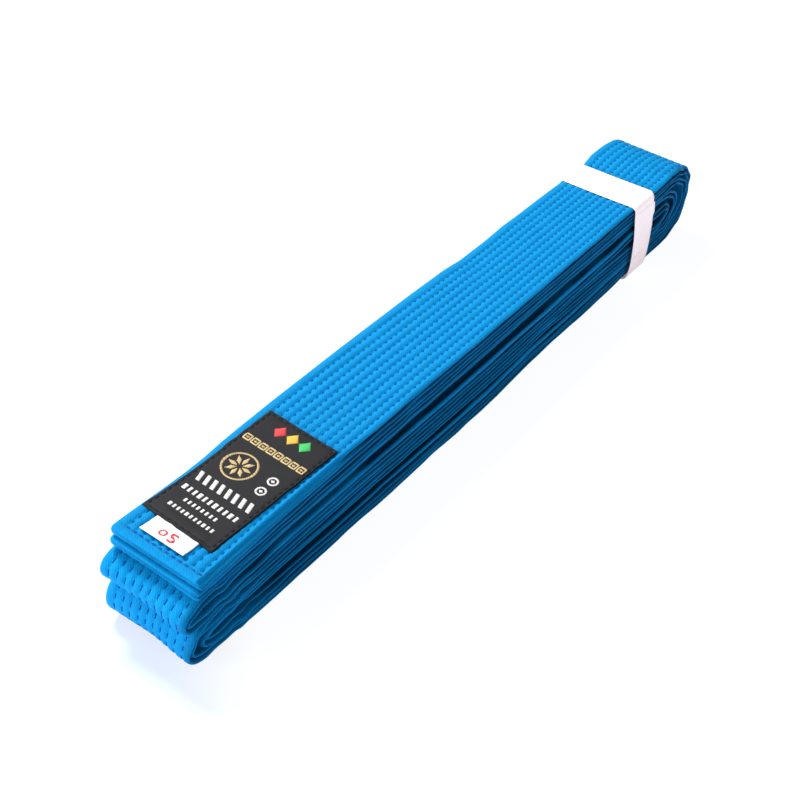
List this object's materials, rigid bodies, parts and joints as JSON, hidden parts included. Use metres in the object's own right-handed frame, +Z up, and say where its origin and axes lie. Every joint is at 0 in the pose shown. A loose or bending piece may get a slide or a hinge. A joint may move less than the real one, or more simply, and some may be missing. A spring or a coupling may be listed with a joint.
{
  "type": "martial arts belt",
  "caption": "Folded cotton martial arts belt with sewn rows, a woven label and a size tag, held in a flat bundle by a paper band.",
  "frame": {"origin": "centre of the bundle's outer box, on the surface that it lies on", "axes": "+X along the bundle from the label end to the nested folds, +Y across it towards the folded edge of the cover, away from the open edge, +Z up through the eight layers"},
  "size_m": [0.364, 0.0414, 0.0411],
  "materials": {
    "cover_cloth": "satin weave, quilted",
    "core_cotton": "matte",
    "sewing_thread": "matte",
    "end_seam_thread": "matte",
    "label_cloth": "satin",
    "label_thread": "matte",
    "tag_cloth": "matte",
    "band_paper": "matte"
  },
  "bodies": {
    "bundle": {"cover_folded_length": "cover_cloth", "end_seam_second_end": "end_seam_thread", "core_ply_1_folded": "core_cotton", "core_ply_2_folded": "core_cotton", "core_ply_3_folded": "core_cotton", "core_ply_4_folded": "core_cotton", "stitch_row_01": "sewing_thread", "stitch_row_02": "sewing_thread", "stitch_row_03": "sewing_thread", "stitch_row_04": "sewing_thread", "stitch_row_05": "sewing_thread", "stitch_row_06": "sewing_thread", "stitch_row_07": "sewing_thread", "stitch_row_08": "sewing_thread", "stitch_row_09": "sewing_thread", "stitch_row_10": "sewing_thread"},
    "free_end": {"cover_free_end": "cover_cloth", "end_seam_label_end": "end_seam_thread", "stitch_rows_free_end": "sewing_thread", "woven_label": "label_cloth", "label_stitching": "label_thread", "core_ply_1_free_end": "core_cotton", "core_ply_2_free_end": "core_cotton", "core_ply_3_free_end": "core_cotton", "core_ply_4_free_end": "core_cotton"},
    "size_tag": {"size_tag": "tag_cloth"},
    "band": {"paper_band": "band_paper", "band_lap": "band_paper"}
  },
  "joints": [
    {"name": "band_slide", "type": "slide", "parent": "bundle", "child": "band", "axis": [1, 0, 0], "range_m": [-0.086, 0.066]},
    {"name": "free_end_lift", "type": "hinge", "parent": "bundle", "child": "free_end", "pos_m": [0.0235, 0, 0.04045], "axis": [0, 1, 0], "range_deg": [0, 75]},
    {"name": "size_tag_flap", "type": "hinge", "parent": "free_end", "child": "size_tag", "pos_m": [-0.1637, 0, 0.04085], "axis": [0, 1, 0], "range_deg": [0, 120]}
  ]
}
